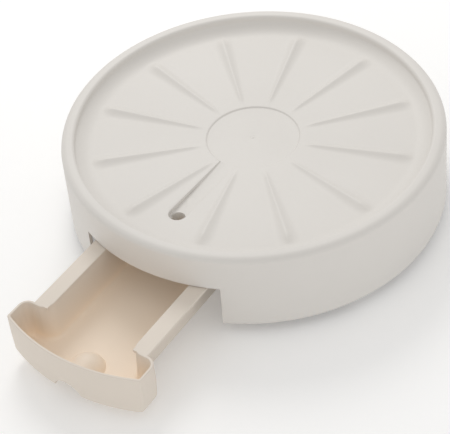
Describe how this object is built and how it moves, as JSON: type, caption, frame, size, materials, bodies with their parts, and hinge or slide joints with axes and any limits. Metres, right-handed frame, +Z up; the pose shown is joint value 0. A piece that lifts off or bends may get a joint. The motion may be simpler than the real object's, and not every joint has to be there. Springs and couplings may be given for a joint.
{
  "type": "rolling plant caddy",
  "caption": "Round moulded plant stand that rolls on swivel casters, with a ridged, drained deck and a pull-out tray below that catches the water.",
  "frame": {"origin": "centre of the round recess in the middle of the deck, on its flat face", "axes": "+Z up; the water tray pulls out towards -Y; +X to the right of somebody looking along +Y at the tray's front"},
  "size_m": [0.3, 0.3942, 0.073],
  "materials": {
    "deck_plastic": "matte moulded polypropylene, warm off-white",
    "tray_plastic": "matte moulded polypropylene, warm off-white",
    "rail_plastic": "matte moulded polypropylene, warm off-white",
    "screw_steel": "bright zinc plate",
    "pin_steel": "bright zinc plate",
    "ball_steel": "polished bearing steel",
    "caster_zinc": "pressed sheet steel, zinc plated",
    "wheel_plastic": "natural white polypropylene, satin"
  },
  "bodies": {
    "deck": {"deck_shell": "deck_plastic", "guide_rail_left": "rail_plastic", "guide_rail_right": "rail_plastic", "rail_screws_left": "screw_steel", "rail_screws_right": "screw_steel", "caster_plate_front_left": "caster_zinc", "plate_screws_front_left": "screw_steel", "kingpin_front_left": "pin_steel", "swivel_balls_front_left": "ball_steel", "caster_plate_front_right": "caster_zinc", "plate_screws_front_right": "screw_steel", "kingpin_front_right": "pin_steel", "swivel_balls_front_right": "ball_steel", "caster_plate_rear_left": "caster_zinc", "plate_screws_rear_left": "screw_steel", "kingpin_rear_left": "pin_steel", "swivel_balls_rear_left": "ball_steel", "caster_plate_rear_right": "caster_zinc", "plate_screws_rear_right": "screw_steel", "kingpin_rear_right": "pin_steel", "swivel_balls_rear_right": "ball_steel"},
    "tray": {"water_tray": "tray_plastic"},
    "swivel_front_left": {"caster_fork_front_left": "caster_zinc", "axle_bolt_front_left": "pin_steel", "axle_nut_front_left": "screw_steel", "axle_sleeve_front_left": "pin_steel"},
    "wheel_front_left": {"wheel_front_left": "wheel_plastic"},
    "swivel_front_right": {"caster_fork_front_right": "caster_zinc", "axle_bolt_front_right": "pin_steel", "axle_nut_front_right": "screw_steel", "axle_sleeve_front_right": "pin_steel"},
    "wheel_front_right": {"wheel_front_right": "wheel_plastic"},
    "swivel_rear_left": {"caster_fork_rear_left": "caster_zinc", "axle_bolt_rear_left": "pin_steel", "axle_nut_rear_left": "screw_steel", "axle_sleeve_rear_left": "pin_steel"},
    "wheel_rear_left": {"wheel_rear_left": "wheel_plastic"},
    "swivel_rear_right": {"caster_fork_rear_right": "caster_zinc", "axle_bolt_rear_right": "pin_steel", "axle_nut_rear_right": "screw_steel", "axle_sleeve_rear_right": "pin_steel"},
    "wheel_rear_right": {"wheel_rear_right": "wheel_plastic"}
  },
  "joints": [
    {"name": "tray_slide", "type": "slide", "parent": "deck", "child": "tray", "axis": [0, -1, 0], "range_m": [-0.0945, 0.0855]},
    {"name": "swivel_front_left_turn", "type": "hinge", "parent": "deck", "child": "swivel_front_left", "pos_m": [-0.085, -0.054, -0.0072], "axis": [0, 0, 1], "continuous": true},
    {"name": "wheel_front_left_roll", "type": "hinge", "parent": "swivel_front_left", "child": "wheel_front_left", "pos_m": [-0.06865, -0.06872, -0.0372], "axis": [0.6691, 0.7431, 0], "continuous": true},
    {"name": "swivel_front_right_turn", "type": "hinge", "parent": "deck", "child": "swivel_front_right", "pos_m": [0.085, -0.054, -0.0072], "axis": [0, 0, 1], "continuous": true},
    {"name": "wheel_front_right_roll", "type": "hinge", "parent": "swivel_front_right", "child": "wheel_front_right", "pos_m": [0.107, -0.05438, -0.0372], "axis": [0.0175, 0.9998, 0], "continuous": true},
    {"name": "swivel_rear_left_turn", "type": "hinge", "parent": "deck", "child": "swivel_rear_left", "pos_m": [-0.085, 0.054, -0.0072], "axis": [0, 0, 1], "continuous": true},
    {"name": "wheel_rear_left_roll", "type": "hinge", "parent": "swivel_rear_left", "child": "wheel_rear_left", "pos_m": [-0.08654, 0.07595, -0.0372], "axis": [-0.9976, -0.0698, 0], "continuous": true},
    {"name": "swivel_rear_right_turn", "type": "hinge", "parent": "deck", "child": "swivel_rear_right", "pos_m": [0.085, 0.054, -0.0072], "axis": [0, 0, 1], "continuous": true},
    {"name": "wheel_rear_right_roll", "type": "hinge", "parent": "swivel_rear_right", "child": "wheel_rear_right", "pos_m": [0.10688, 0.0517, -0.0372], "axis": [0.1045, 0.9945, 0], "continuous": true}
  ]
}
